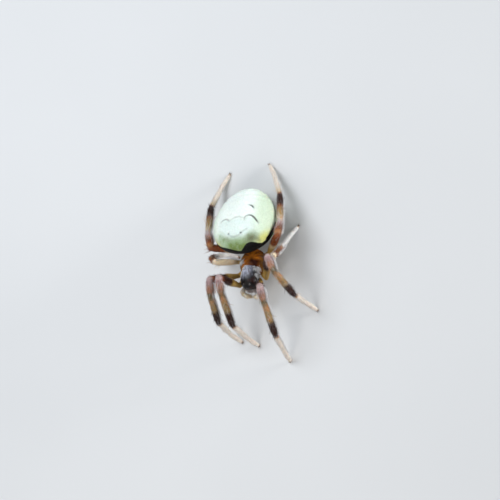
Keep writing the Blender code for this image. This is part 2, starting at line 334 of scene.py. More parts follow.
def legPath(name):
    # The seven joints of a leg, from the inner end of its base to the tip
    pair, side = int(name[-1]), sides[name[:-2]]
    out, along = leg["hip"][pair]
    inner = leg["coxaInner"]
    joints = [onProsoma((side * out * inner, along * inner, -leg["coxaDrop"])),
              onProsoma((side * out, along, 0))]
    lengths = leg["lengths"][pair]
    *held, tarsusHeading = leg["pose"][name]
    for length, (heading, pitch) in zip(lengths, held):
        joints.append(joints[-1] + direction(heading, pitch) * length)
    drop = joints[-1][2] - leg["footHeight"]
    pitch = -math.degrees(math.asin(drop / lengths[-1]))
    joints.append(joints[-1] + direction(tarsusHeading, pitch) * lengths[-1])
    return np.array(joints)


legNames = list(leg["pose"])
legJoints = {name: legPath(name) for name in legNames}
palpJoints = {name: onProsoma(np.array(palp["route"]) * (side, 1, 1)) for name, side in sides.items()}
print("frame read, shift in mm:", np.round(shift, 3))


# Tones, as red, green and blue of a screen from 0 to 255
tones = {
    "mint": (238, 248, 241), "frostShade": (215, 232, 226), "mintEdgeShade": (196, 214, 200), "leaf": (114, 136, 72),
    "moss": (150, 174, 132), "yellow": (208, 210, 130), "paintedShade": (104, 106, 80), "black": (7, 7, 6),
    "mark": (70, 70, 68), "belly": (66, 58, 40), "bellyPaleAndHighlight": (178, 186, 138), "flank": (158, 182, 128),
    "amber": (166, 132, 66), "sand": (214, 190, 148), "umber": (52, 21, 9), "rust": (134, 74, 42),
    "rose": (170, 116, 88), "orange": (196, 122, 62), "olive": (104, 88, 48), "ochre": (160, 128, 74),
    "lilac": (190, 168, 168), "mauve": (168, 134, 132), "tan": (186, 138, 92), "pistachio": (196, 214, 186),
    "ivory": (238, 216, 180), "rimeAndSheen": (216, 220, 242), "cream": (228, 214, 198), "tip": (172, 142, 114),
    "chestnut": (118, 62, 26), "honey": (186, 110, 32), "soot": (12, 11, 12), "bone": (234, 230, 226),
    "hairPale": (226, 226, 228), "hairDark": (54, 24, 12), "horn": (134, 104, 80),
}


def tone(name):
    share = np.array(tones[name]) / 255
    return np.where(share <= 0.04045, share / 12.92, ((share + 0.055) / 1.055) ** 2.4)


def plain(name, points, scale=1.0):
    return np.tile(tone(name) * scale, (len(points), 1))


def blend(first, second, share):
    # From the first colours to the second, by a share for each point
    return first * (1 - share[:, None]) + second * share[:, None]


def layer(colours, *coats):
    # Lays tones over the colours, each given as (tone name, amount from 0 to 1)
    for name, amount in coats:
        colours = blend(colours, tone(name), np.clip(amount, 0, 1))
    return colours


def mottled(colours, points, amount, scale, seed):
    return colours * (1 + amount * rough(points, scale, seed))[:, None]


def toneRun(stops, places):
    # The tone at each place of a run of (place, tone name) stops
    at, names = zip(*stops)
    colours = np.array([tone(name) for name in names])
    return np.stack([np.interp(places, at, colours[:, channel]) for channel in range(3)], 1)


# Marks of the abdomen: bearings (0 ahead, towards its left) and heights over its equator are in degrees,
# and places on the back are shares of the egg
abdomenMarks = {
    # the black band's upper edge, as (bearing, height)
    "bandEdge": ((-90, -4), (-70, 1), (-56, 2), (-45, 6), (-30, 10), (-20, 11), (-12, 8), (-5, 4), (0, 1),
                 (3, 6), (8, 14), (13, 19), (18, 20), (24, 17), (28, 11), (32, 3), (36, -2), (42, -3),
                 (48, 1), (56, 3), (66, 3), (76, 1), (86, -4)),
    "bandEnd": 86, "bandUnder": -34,
    # painted shade in grey patches on the front, as strength, bearing and its spread, height and its spread
    "shadePatches": ((1.0, 25, 10, 26, 10), (0.25, -22, 14, 33, 6), (0.5, 34, 4, 14, 9)),
    # two dots, as place and strength
    "dots": (((-0.26, -0.64), 0.7), ((0.11, -0.67), 1.1)),
    "dotSize": 0.035, "dotInk": 0.024, "dotDepth": 0.06, "dotStretch": (0.8, 1.3),
    # lines over the back, as strength, width, how the ink runs, and path
    "lines": (
        (1.25, 0.024, "swelling", ((0.22, -0.32), (0.24, -0.24), (0.33, -0.195), (0.42, -0.205),
                                   (0.50, -0.26), (0.57, -0.35), (0.61, -0.41))),
        (0.6, 0.022, "tapered", ((-0.58, -0.26), (-0.46, -0.215), (-0.35, -0.22), (-0.25, -0.29))),
        (1.3, 0.021, "swelling", ((0.30, 0.165), (0.37, 0.14), (0.43, 0.11), (0.49, 0.04))),
        (0.32, 0.022, "even", ((-0.27, -0.655), (-0.16, -0.73), (-0.05, -0.745), (0.05, -0.72),
                               (0.17, -0.645), (0.29, -0.59))),
        (0.32, 0.026, "tapered", ((-0.25, -0.29), (-0.1, -0.235), (0.05, -0.22), (0.15, -0.25),
                                  (0.24, -0.24))),
    ),
    "lineDepth": 0.07,
}


def lineDistance(points, line, count=24):
    # Distance in shares of the egg from each point to a smooth line over the back, and how far along it
    path = curveThrough(line, count)
    apart = np.linalg.norm(points[:, None, :2] - path[None], axis=2)
    nearest = apart.argmin(1)
    return apart[np.arange(len(points)), nearest], nearest / (count - 1)


def abdomenLook(points):
    # The colour, gloss and depth of dents over the abdomen, from where each point lies on the egg
    share = onEgg(points)
    x, y, z = unit(share).T
    bearing = np.degrees(np.arctan2(x, -y))
    height = np.degrees(np.arcsin(np.clip(z, -1, 1)))
    wander, fine = rough(points, 1.4, 1), rough(points, 5.0, 2)
    top = (z > 0).astype(float)
    # the mint back: a bluish plate ahead, darker with painted shade below the ridge at its rear edge, greener
    # sides, and the moss and leaf green of the front
    shadedPlate = smooth(-0.2, -0.34, share[:, 1]) * smooth(0.66, 0.5, np.abs(share[:, 0])) * top
    outer = smooth(0.3, 0.75, share[:, 0]) + 0.4 * smooth(-0.5, -0.8, share[:, 0])
    ahead = smooth(46, 30, height + 2.5 * wander) * smooth(52, 30, np.abs(bearing + 4))
    middle = smooth(37, 16, height + 5 * wander) * smooth(27, 10, np.abs(bearing + 2))
    creases = smooth(0.0, 0.5, rough(points * (1.6, 0.8, 0.8), 2.6, 16)) * smooth(37, 16, height)
    flecks = smooth(0.15, 0.5, rough(points, 3.1, 17))
    # a painted highlight low on the right of the front, and a pale line along the front at the equator
    pale = bump(bearing, -48, 12) * smooth(30, 10, height)
    pale = pale + 0.5 * bump(height, 4, 5) * smooth(24, 4, np.abs(bearing + 4))
    lobe = bump(bearing, 43, 15) * smooth(28, 9, height + 4 * wander)
    lobe = lobe + 0.5 * bump(bearing, -42, 9) * smooth(20, 8, height)
    # grey patches of painted shade on the front
    paintedShade = sum(strength * bump(bearing, at, spread) * bump(height, level, rise)
                 for strength, at, spread, level, rise in abdomenMarks["shadePatches"])
    # the band, which thins under the front, and the belly with its two pale stripes
    edge = follow(abdomenMarks["bandEdge"], bearing) + 0.9 * fine
    end, under = abdomenMarks["bandEnd"], abdomenMarks["bandUnder"]
    lower = under + (edge - under) * np.clip(np.abs(bearing) / end, 0, 1) ** 3
    band = smooth(0.8, -0.8, height - edge) * smooth(-1.5, 1.5, height - lower)
    band = band * smooth(end + 4, end - 4, np.abs(bearing))
    below = smooth(-22, -34, height + 4 * wander)
    stripes = bump(np.abs(x), 0.3, 0.055) * smooth(-0.6, -0.35, y) * smooth(0.55, 0.3, y)
    stripes = stripes * smooth(-30, -45, height)
    colours = layer(
        plain("mint", points),
        # darker towards the sides of the back: painted shade
        ("mintEdgeShade", 0.7 * smooth(46, 8, height + 4 * wander)),
        # the plate ahead darkened with painted shade
        ("frostShade", 0.6 * shadedPlate),
        ("pistachio", 0.8 * outer * smooth(70, 50, height)),
        ("flank", 0.8 * smooth(4, -16, height + 3 * wander)),
        ("moss", 0.85 * ahead),
        ("leaf", middle),
        ("moss", 0.5 * creases * smooth(30, 20, np.abs(bearing))),
        ("leaf", 0.5 * flecks * ahead),
        ("bellyPaleAndHighlight", 0.6 * pale),
        ("yellow", 1.15 * lobe),
        ("paintedShade", 0.95 * paintedShade),
        ("belly", 0.9 * below),
        ("bellyPaleAndHighlight", 0.9 * stripes + 0.25 * below * smooth(0.1, 0.5, fine)),
        ("black", band),
    )
    # the dark lines and dots, each in a dent of its own
    dent = np.zeros(len(points))
    for strength, width, run, line in abdomenMarks["lines"]:
        apart, along = lineDistance(share, line)
        ink = bump(apart, 0, width) * top
        if run != "even":
            ink = ink * (0.35 + 0.65 * smooth(0, 0.25, along) * smooth(1, 0.8, along))
        if run == "swelling":
            ink = ink * (0.5 + 0.6 * smooth(0.2, 0.7, along))
        colours = layer(colours, ("mark", strength * ink))
        dent += abdomenMarks["lineDepth"] * (0.4 + 0.6 * strength) * bump(apart, 0, width * 1.7) * top
    for centre, strength in abdomenMarks["dots"]:
        apart = np.linalg.norm((share[:, :2] - np.array(centre)) * abdomenMarks["dotStretch"], axis=1)
        colours = layer(colours, ("mark", strength * bump(apart, 0, abdomenMarks["dotInk"]) * top))
        dent += abdomenMarks["dotDepth"] * bump(apart, 0, abdomenMarks["dotSize"]) * top
    colours *= (1 + 0.05 * fine + 0.04 * rough(points, 12.0, 3))[:, None]
    gloss = 0.4 + 0.1 * band + 0.1 * below
    # shallow folds across the rear and along the flanks, the two shoulders, and the fold of the belly
    folds = 0.035 * np.sin(34 * y + 2.2 * wander) * smooth(0.15, 0.6, y) * smooth(-0.2, 0.3, z)
    folds = folds + 0.03 * np.sin(30 * z + 2 * wander) * smooth(0.35, -0.15, z) * smooth(0.3, 0.7, np.abs(x))
    shoulders = -0.05 * bump(np.abs(x), 0.52, 0.2) * bump(y, -0.42, 0.25) * top
    furrow = 0.1 * bump(y, -0.42 + 0.12 * x * x, 0.035) * smooth(-0.3, -0.6, z)
    furrow = furrow * smooth(0.75, 0.45, np.abs(x))
    return np.clip(colours, 0, 1), gloss, dent + folds + shoulders + furrow + 0.012 * fine


# Tones along each leg: 0 base, 1 femur, 2 patella, 3 tibia, 4 metatarsus, 5 tarsus, 6 tip
legTones = {
    "front": ((0, "amber"), (1.38, "amber"), (1.54, "umber"), (1.82, "umber"), (1.93, "rust"), (2.0, "lilac"),
              (2.07, "mauve"), (2.3, "mauve"), (2.5, "rose"), (2.74, "rose"), (2.9, "olive"), (3.04, "olive"),
              (3.16, "tan"), (3.32, "ochre"), (3.5, "ochre"), (3.64, "umber"), (4.03, "umber"), (4.09, "tan"),
              (4.16, "cream"), (5.9, "cream"), (6, "tip")),
    "third": ((0, "amber"), (1.0, "amber"), (1.25, "ivory"), (2.08, "ivory"), (2.24, "chestnut"),
              (3.1, "chestnut"), (3.4, "rose"), (3.7, "bone"), (5.9, "bone"), (6, "tip")),
    "rear": ((0, "amber"), (1.3, "amber"), (1.48, "sand"), (1.62, "rust"), (1.85, "chestnut"), (2.0, "rust"),
             (2.2, "tan"), (2.4, "rust"), (2.6, "chestnut"), (2.8, "mauve"), (2.95, "lilac"), (3.08, "sand"),
             (3.25, "ochre"), (3.42, "ochre"), (3.54, "rust"), (3.62, "umber"), (4.0, "umber"),
             (4.05, "rust"), (4.14, "sand"), (4.35, "cream"), (5.9, "cream"), (6, "tip")),
}
legPattern = {1: "front", 2: "front", 3: "third", 4: "rear"}
femurDark = {"front": 1.0, "third": 0.3, "rear": 0.3}  # how dark the hairs are at the femur's end
darkEarly = {"left_1": 0.36}  # how much sooner a leg's femur turns dark


def nearestOnPath(points, joints):
    # Nearest place along a chain of joints (in segments), its distance, and the way of the chain there
    best = np.full(len(points), 1e9)
    place, ways, feet = np.zeros(len(points)), np.zeros_like(points), np.zeros_like(points)
    for number, (start, end) in enumerate(zip(joints, joints[1:])):
        span = end - start
        share = np.clip((points - start) @ span / (span @ span), 0, 1)
        foot = start + share[:, None] * span
        apart = np.linalg.norm(points - foot, axis=1)
        closer = apart < best
        best[closer], place[closer] = apart[closer], (number + share)[closer]
        ways[closer], feet[closer] = unit(span), foot[closer]
    return place, best, ways, feet


def legRadius(places, pair):
    number = np.minimum(places.astype(int), len(leg["profile"]) - 1)
    radius = np.zeros(len(places))
    for segment, profile in enumerate(leg["profile"]):
        radius = np.where(number == segment, follow(profile, places - number), radius)
    return radius * leg["girth"][pair]


def palpRadius(places):
    return np.interp(places, range(len(palp["radii"])), palp["radii"])


def markPlaces(places, name):
    return places + darkEarly.get(name, 0) * smooth(0.8, 1.1, places) * smooth(1.9, 1.5, places)


def legDark(places, name):
    # How dark each place of a leg is: the end of the femur and the ring before the metatarsus
    pattern = legPattern[int(name[-1])]
    places = markPlaces(places, name)
    ring = 0 if pattern == "third" else smooth(3.55, 3.63, places) * smooth(4.07, 4.01, places)
    return ring + femurDark[pattern] * smooth(1.42, 1.54, places) * smooth(1.96, 1.88, places)


def legLook(places, name, points):
    run = legTones[legPattern[int(name[-1])]]
    colours = toneRun(run, markPlaces(places, name) + 0.04 * rough(points, 2.2, 4))
    middle = smooth(2.1, 2.4, places) * smooth(3.7, 3.5, places)
    colours = layer(colours, ("olive", 0.75 * middle * smooth(0.12, 0.5, rough(points, 3.4, 14))),
                    ("orange", 0.45 * middle * smooth(0.1, 0.45, rough(points, 2.6, 15))))
    return np.clip(mottled(colours, points, 0.16, 6.0, 5), 0, 1), 0.44 - 0.1 * legDark(places, name)


# The skin: every soft part is made closed, all are joined into one surface, and the marks are laid over it
skinMake = {
    "voxel": 0.055, "smoothing": 7,
    "egg": (150, 96), "coreGrid": (40, 26), "coreHalf": (0.98, 1.4, 0.4), "coreAt": (0, -0.05, -0.03),
    "waist": ((0, 0.9, -0.02), (0, 1.2, -0.02)), "waistRise": (0, 1.45, 0.27),
    "waistRadii": ((0, 0.22), (0.45, 0.17), (1, 0.26)), "waistRings": (0.02, 40),  # depth and spacing
    # root and tip of the rear and front spinnerets
    "spinnerets": (((0.24, 2.8, -0.9), (0.2, 3.35, -1.35)), ((0.22, 3.1, -0.55), (0.18, 3.9, -0.85))),
    "spinneretRadii": ((0, 0.17), (0.55, 0.16), (0.62, 0.13), (0.68, 0.145), (1, 0.08)),
}


def skinParts():
    inset = body["coatDepth"]
    directions, faces = sphereGrid(*skinMake["egg"])
    yield onAbdomen(eggShape(directions, inset)), faces
    directions, faces = sphereGrid(*skinMake["coreGrid"])
    yield onProsoma(directions * skinMake["coreHalf"] + skinMake["coreAt"]), faces
    for name in legNames:
        joints, pair = legJoints[name], int(name[-1])
        for number, (start, end) in enumerate(zip(joints, joints[1:])):
            shares = np.linspace(0, 1, 16)
            radii = legRadius(np.minimum(number + shares, number + 0.9999), pair) - inset
            points, radii = rounded(start + np.outer(shares, end - start), radii)
            points[:, 2] = np.maximum(points[:, 2], 0.0)
            yield sweep(points, radii)
    for joints in palpJoints.values():
        place = np.linspace(0, 6, 26)
        necks = sum(bump(place, at, width) for at, width in palp["necks"])
        radii = palpRadius(place) - palp["inset"] - palp["neckDepth"] * necks
        yield sweep(*rounded(curveThrough(joints, len(place)), radii))
    start, end = (onProsoma(point) for point in skinMake["waist"])
    shares = np.linspace(0, 1, 12)
    depth, spacing = skinMake["waistRings"]
    radii = follow(skinMake["waistRadii"], shares) - depth * np.cos(shares * spacing)
    yield sweep(*rounded(start + np.outer(shares, end + skinMake["waistRise"] - start), radii))
    for side in sides.values():
        for ends in skinMake["spinnerets"]:
            root, tip = (onAbdomen(np.array(point) * (side, 1, 1)) for point in ends)
            shares = np.linspace(-0.5, 0.97, 14)
            radii = follow(skinMake["spinneretRadii"], shares)
            yield sweep(*rounded(root + np.outer(shares, tip - root), radii), 18)


def makeSkin(finish):
    # joined at a thousand times the size, because the joining can't work finer than a tenth of a millimetre
    points, faces = joined(skinParts())
    raw = makePiece("skin_parts", points / mm, faces)
    join = raw.modifiers.new("join", "REMESH")
    join.mode, join.voxel_size = "VOXEL", skinMake["voxel"]
    ease = raw.modifiers.new("ease", "SMOOTH")
    ease.factor, ease.iterations = 0.5, skinMake["smoothing"]
    bpy.context.view_layer.update()
    mesh = bpy.data.meshes.new_from_object(raw.evaluated_get(bpy.context.evaluated_depsgraph_get()))
    bpy.data.objects.remove(raw, do_unlink=True)
    points, normals = readPoints(mesh), readPoints(mesh, "normal")
    region = skinRegions(points)
    colours, gloss, dent = skinLook(points, region)
    points = points - normals * dent[:, None]
    points[:, 2] = np.maximum(points[:, 2], 0.0)
    mesh.vertices.foreach_set("co", (points * mm).ravel())
    mesh.name = "skin"
    mesh.materials.clear()
    skin = addPiece("skin", mesh, finish)
    mesh.update()
    paint(skin, tone=colours, gloss=gloss, soft=(region["kind"] == "abdomen").astype(float))
    soft = ("abdomen", "spinneret", "pedicel", "coxa", "femur", "tibia", "foot", "palp")
    ridePiece(skin, "abdomen_skin", *(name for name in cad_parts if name.split("_")[0] in soft))
    print("skin:", len(mesh.polygons), "faces")
    return skin


def skinRegions(points):
    # Which part each point belongs to, on which limb and where along it
    kind = np.full(len(points), "core", dtype="U9")
    limb, place = np.full(len(points), "", dtype="U9"), np.zeros(len(points))
    closest = np.full(len(points), 0.12)
    limbs = [("leg", name, joints, lambda at, pair=int(name[-1]): legRadius(at, pair))
             for name, joints in legJoints.items()]
    limbs += [("palp", name, joints, palpRadius) for name, joints in palpJoints.items()]
    for part, name, joints, radius in limbs:
        at, apart, _, _ = nearestOnPath(points, joints)
        over = apart - radius(at)
        mine = over < closest
        closest[mine], kind[mine], limb[mine], place[mine] = over[mine], part, name, at[mine]
    reach = np.linalg.norm(onEgg(points), axis=1)
    kind[(reach < 1.03) & (reach > 0.9) & ((closest > 0) | (kind == "core"))] = "abdomen"
    x, y, z = fromAbdomen(points).T
    kind[(y > 2.7) & (z < -0.35) & (reach > 1.0) & (np.abs(x) < 0.5)] = "spinneret"
    return {"kind": kind, "limb": limb, "place": place}


def skinLook(points, region):
    kind, limb, place = region["kind"], region["limb"], region["place"]
    colours = mottled(plain("chestnut", points), points, 0.2, 4.0, 6)
    gloss, dent = np.full(len(points), 0.45), np.zeros(len(points))
    egg, palps, tail = kind == "abdomen", kind == "palp", kind == "spinneret"
    colours[egg], gloss[egg], dent[egg] = abdomenLook(points[egg])
    for name in legNames:
        mine = (kind == "leg") & (limb == name)
        colours[mine], gloss[mine] = legLook(place[mine], name, points[mine])
    # the palps' tones are raised by a quarter as painted light, with a soft mottle
    mottleAndLight = 1.25 + 0.12 * rough(points[palps], 6.0, 5)
    colours[palps] = toneRun(palp["tones"], place[palps]) * mottleAndLight[:, None]
    colours[tail] = layer(plain("umber", points[tail]), ("rust", 0.5 + 0.5 * rough(points[tail], 7.0, 7)))
    limbs = (kind == "leg") | palps
    dent[limbs] += 0.008 * rough(points[limbs], 9.0, 8)  # dimples where the hairs stand
    return np.clip(colours, 0, 1), gloss, dent


# Finishes
class Wire:
    # An output of a node, so that sums on values can be written in plain Python
    def __init__(self, maker, socket):
        self.maker = maker
        self.socket = socket

    def work(self, operation, *values):
        return self.maker.add("ShaderNodeMath", {"operation": operation}, dict(enumerate(values)))

    def __add__(self, other):
        return self.work("ADD", self, other)

    def __sub__(self, other):
        return self.work("SUBTRACT", self, other)

    def __rsub__(self, other):
        return self.work("SUBTRACT", other, self)

    def __mul__(self, other):
        return self.work("MULTIPLY", self, other)

    __radd__ = __add__
    __rmul__ = __mul__

    def between(self, low, high):
        return self.maker.add("ShaderNodeMapRange", {"interpolation_type": "SMOOTHSTEP"},
                              {"Value": self, "From Min": low, "From Max": high})


class Finish:
    # One material, made from nodes
    def __init__(self, name, **shader):
        self.material = bpy.data.materials.new(name)
        self.material.use_nodes = True
        self.tree = self.material.node_tree
        self.shader = self.tree.nodes["Principled BSDF"]
        for socket, value in shader.items():
            self.shader.inputs[socket.replace("_", " ")].default_value = value

    def add(self, kind, settings=None, inputs=None, output=0):
        # A node of any kind: its settings first, then the values or links of its sockets
        node = self.tree.nodes.new(kind)
        for key, value in (settings or {}).items():
            setattr(node, key, value)
        for key, value in (inputs or {}).items():
            if isinstance(value, Wire):
                self.tree.links.new(value.socket, node.inputs[key])
            else:
                node.inputs[key].default_value = value
        return Wire(self, node.outputs[output])

    def place(self, scale):
        # Object coordinates in millimetres, times the scale
        coordinates = self.add("ShaderNodeTexCoord", output="Object")
        return self.add("ShaderNodeVectorMath", {"operation": "SCALE"},
                        {0: coordinates, "Scale": scale / mm})

    def grain(self, scale, detail=3.0):
        return self.add("ShaderNodeTexNoise", {},
                        {"Vector": self.place(scale), "Scale": 1.0, "Detail": detail})

    def cells(self, scale):
        return self.add("ShaderNodeTexVoronoi", {}, {"Vector": self.place(scale), "Scale": 1.0})

    def read(self, name, colour=False):
        return self.add("ShaderNodeAttribute", {"attribute_name": name}, output="Color" if colour else "Fac")

    def mix(self, amount, first, second, kind="MIX"):
        return self.add("ShaderNodeMix", {"data_type": "RGBA", "blend_type": kind},
                        {0: amount, 6: first, 7: second}, 2)

    def tint(self, colour, amount):
        # The colour made lighter and darker by a value about one
        grey = self.add("ShaderNodeCombineColor", {}, {0: amount, 1: amount, 2: amount})
        return self.mix(1.0, colour, grey, "MULTIPLY")

    def relief(self, height, depth, under=None):
        # A bump of the given depth in millimetres
        inputs = {"Height": height, "Distance": depth * mm, "Strength": 1.0}
        if under is not None:
            inputs["Normal"] = under
        return self.add("ShaderNodeBump", {}, inputs)

    def set(self, **wires):
        for name, wire in wires.items():
            self.tree.links.new(wire.socket, self.shader.inputs[name.replace("_", " ")])
        return self.material


def toneFour(name, scale=1.0):
    return (*(tone(name) * scale), 1.0)


def skinFinish():
    finish = Finish("spider_skin", Subsurface_Weight=0.08, Subsurface_Scale=0.3 * mm, Specular_IOR_Level=0.14,
                    Coat_Weight=0.03, Coat_Roughness=0.25)
    grain, cells = finish.grain(4.0, 4.0), finish.cells(9.0)
    fine = finish.grain(22.0, 2.0)
    # the abdomen alone has the darker net of cells
    amount = 0.9 + 0.16 * grain + 0.06 * fine - 0.08 * finish.read("soft") * cells.between(0.35, 0.8)
    scales = finish.cells(16.0).between(0.0, 0.9)
    relief = finish.relief(grain + 0.5 * scales, 0.018, finish.relief(fine, 0.006))
    return finish.set(Base_Color=finish.tint(finish.read("tone", True), amount), Normal=relief,
                      Roughness=finish.read("gloss") + 0.14 * (grain - 0.5))


# Hard parts: roughness, depth of the relief in millimetres, and the clear coat
hardFinishes = {
    "thorax_cuticle": (0.6, 0.02, 0.04),
    "head_cuticle": (0.3, 0.05, 0.2),
    "claw_horn": (0.2, 0.006, 0.35),
}


def shellFinish(name):
    # Hard glossy cuticle, its colour read from the piece
    shine, relief, coat = hardFinishes[name]
    finish = Finish(name, Coat_Weight=coat, Coat_Roughness=0.22, Specular_IOR_Level=0.02 + 0.7 * coat)
    grain, fine = finish.grain(3.0, 4.0), finish.grain(24.0, 2.0)
    pits = finish.cells(11.0).between(0.0, 0.35)
    colour = finish.tint(finish.read("tone", True), 0.82 + 0.3 * grain + 0.06 * fine)
    bumps = finish.relief(0.7 * grain + 0.3 * pits, relief, finish.relief(fine, 0.25 * relief))
    return finish.set(Base_Color=colour, Roughness=shine + 0.16 * (grain - 0.5), Normal=bumps)


def eyeFinish():
    finish = Finish("eye_lens", Coat_Weight=1.0, Coat_Roughness=0.02, IOR=1.5)
    grain = finish.grain(14.0, 2.0)
    colour = finish.mix(grain, toneFour("umber", 0.5), toneFour("soot", 0.5))
    return finish.set(Base_Color=finish.tint(colour, 0.8 + 0.4 * grain), Roughness=0.04 + 0.05 * grain)


def hairFinish():
    finish = Finish("hair", Specular_IOR_Level=0.15)
    grain = finish.grain(8.0, 2.0)
    colour = finish.tint(finish.read("tone", True), 0.85 + 0.3 * grain)
    return finish.set(Base_Color=colour, Roughness=0.32 + 0.2 * grain)


# Carapace: two shells, the glossy black head standing in front of the duller orange-brown thorax
shell = {
    "thorax": {"half": (1.4, 1.45, 0.98), "inset": 0.02, "grid": (120, 84)},
    "head": {"half": (0.92, 1.38, 1.12), "forward": 1.27, "power": 2.5, "inset": 0.015, "grid": (128, 90),
             "taper": 0.1},
    # white tufts, as x, y and size: on both sides of the head, and beside it on the thorax
    "headTufts": ((0.38, -0.4, 0.08), (0.5, -0.65, 0.09), (0.7, -0.5, 0.09), (0.85, -0.8, 0.1),
                  (0.8, -1.2, 0.1)),
    "sideTufts": ((-0.92, -0.05, 0.15), (0.76, -0.55, 0.15)),
    "fovea": (0.0, 0.42), "foveaDepth": 0.13, "foveaSize": (0.09, 0.24),
    "grooves": (35, 72, 108, 142), "grooveDepth": 0.045, "grooveWidth": 7,  # bearings from the fovea
    "rim": 0.03, "underDraw": 0.985, "underRise": 0.05,
    "headFurrow": 0.035, "faceFurrow": 0.04,
}
eyes = {
    # bearing, height and radius
    "places": {"front_middle": (17, 20, 0.105), "rear_middle": (24, 45, 0.105),
               "front_side": (52, 22, 0.085), "rear_side": (62, 36, 0.085)},
    "stand": 0.55, "grid": (28, 20), "collar": 0.035, "socket": 0.05,
}


def headShape(directions, inset=0.0):
    power, (wide, long, tall) = shell["head"]["power"], shell["head"]["half"]
    reach = (np.abs(directions) ** power).sum(1) ** (-1 / power)
    x, y, z = (directions * reach[:, None]).T
    front = 1 - shell["head"]["taper"] * directions[:, 1]
    return np.stack((x * (wide - inset) * front, y * (long - inset) - shell["head"]["forward"],
                     body["carapaceFloor"] * 0.4 + z * (tall - inset)), 1)


def flatUnder(points, centre):
    # Draws the underside into a flat floor at the carapace's edge
    floor = body["carapaceFloor"]
    under = points[:, 2] < floor
    lowest = points[:, 2].min()
    draw = np.sqrt(np.clip((points[:, 2] - lowest) / (floor - lowest), 0, 1))
    flat = points.copy()
    flat[under, :2] = centre + (points[under, :2] - centre) * (shell["underDraw"] * draw[under])[:, None]
    flat[under, 2] = floor + shell["underRise"] * (1 - draw[under])
    return flat


def tufts(x, y, places):
    return sum(bump(np.hypot(x - at, y - along), 0, size) for at, along, size in places)


def eyePlaces():
    for label, (bearing, height, radius) in eyes["places"].items():
        for name, side in sides.items():
            outward = direction(side * bearing, height)
            place = headShape(outward[None])[0] - outward * radius * (1 - eyes["stand"])
            yield f"eye_{label}_{name}", place, outward, radius


def makeThorax(finish):
    directions, faces = sphereGrid(*shell["thorax"]["grid"])
    half = np.array(shell["thorax"]["half"]) - shell["thorax"]["inset"]
    points = directions * half + (0, 0, body["carapaceFloor"] * 0.4)
    x, y, z = points.T
    foveaX, foveaY = shell["fovea"]
    reach = np.hypot(x - foveaX, y - foveaY)
    bearing = np.degrees(np.arctan2(np.abs(x - foveaX), -(y - foveaY)))
    lines = np.zeros(len(points))
    for groove in shell["grooves"]:
        lines += bump(bearing, groove + 6 * np.sin(reach * 3), shell["grooveWidth"])
    lines *= smooth(0.12, 0.4, reach) * smooth(1.35, 0.9, reach)
    wide, long = shell["foveaSize"]
    dent = shell["foveaDepth"] * bump(x, foveaX, wide) * bump(y, foveaY, long) + shell["grooveDepth"] * lines
    points = points - unit(directions / half) * (dent * smooth(0.4, 0.8, z))[:, None]
    level = points[:, 2] - body["carapaceFloor"]
    points[:, :2] *= (1 + shell["rim"] * bump(level, 0.05, 0.05) - 0.02 * bump(level, 0.14, 0.05))[:, None]
    points = flatUnder(points, np.zeros(2))
    placed = onProsoma(points)
    shade = bump(x, 0.3, 0.85) * smooth(0.5, 0.05, y) * (1.15 + 0.3 * rough(placed, 2.0, 21))
    colours = layer(
        plain("honey", points),
        ("chestnut", 0.55 * lines + 0.5 * smooth(0.5, -0.1, points[:, 2] - 0.5)),
        ("olive", 0.6 * smooth(0.6, 1.1, np.abs(x))),
        ("umber", 0.95 * shade + 0.5 * bump(reach, 0, 0.2)),
        ("umber", 0.5 * bump(level, 0.03, 0.06)),
    )
    return makePart("thorax_shell", "thorax_shell", ["thorax"], finish, placed, faces,
                    mottled(colours, placed, 0.15, 3.0, 9))


def makeHead(finish):
    directions, faces = sphereGrid(*shell["head"]["grid"])
    points = headShape(directions, shell["head"]["inset"])
    outward = unit(points - headShape(np.array(((0.0, 0.0, -1.0),)))[0] * (0, 1, 0) - (0, 0, 0.14))
    lift = np.zeros(len(points))
    for _, place, _, radius in eyePlaces():
        apart = np.linalg.norm(points - place, axis=1)
        lift += eyes["collar"] * bump(apart, radius * 1.15, radius * 0.35)
        lift -= eyes["socket"] * bump(apart, 0, radius * 0.7)
    x, y, z = points.T
    # two furrows that run back to the fovea, and one under the eyes, above the face's edge
    furrows = bump(np.abs(x), 0.36 - 0.12 * y, 0.05) * smooth(-1.3, -0.6, y) * smooth(0.6, 0.9, z)
    lift -= shell["headFurrow"] * furrows + shell["faceFurrow"] * bump(z, 0.52, 0.06) * smooth(-2.05, -2.5, y)
    points = flatUnder(points + outward * lift[:, None], np.array((0, -shell["head"]["forward"])))
    placed = onProsoma(points)
    # a bluish bloom in streaks over the rear of the head, pale down with a painted highlight that is
    # strongest on its right side, and white under the tufts
    paintedSheen = smooth(-1.9, -0.9, y) * smooth(-0.15, -0.4, y) * smooth(0.8, -0.6, x)
    streaks = 0.6 + 0.6 * rough(placed * (1, 0.45, 1), 9.0, 18) + 0.3 * rough(placed, 14.0, 19)
    flecks = smooth(0.25, 0.5, rough(placed * (1, 0.4, 1), 7.0, 20))
    stains = smooth(0.1, 0.5, rough(placed, 2.5, 10))
    return makePart("head_shell", "head_shell", ["head"], finish, placed, faces, layer(
        plain("soot", points),
        ("umber", 0.6 * smooth(-0.8, -0.1, y) + 0.5 * stains),
        ("rimeAndSheen", 0.95 * paintedSheen * streaks),
        ("rimeAndSheen", 0.3 * flecks * smooth(-2.1, -1.2, y)),
        ("hairPale", 0.7 * tufts(np.abs(x), y, shell["headTufts"])),
    ))


def makeEyes(finish):
    directions, faces = sphereGrid(*eyes["grid"])
    for name, place, outward, radius in eyePlaces():
        # a clear lens that bulges a little, on a low collar
        across = directions @ outward
        size = radius * (0.97 + 0.03 * smooth(0.3, 1, across) + 0.05 * bump(across, 0.18, 0.1))
        makePart(name + "_lens", "eye", [name], finish, onProsoma(place + directions * size[:, None]), faces)


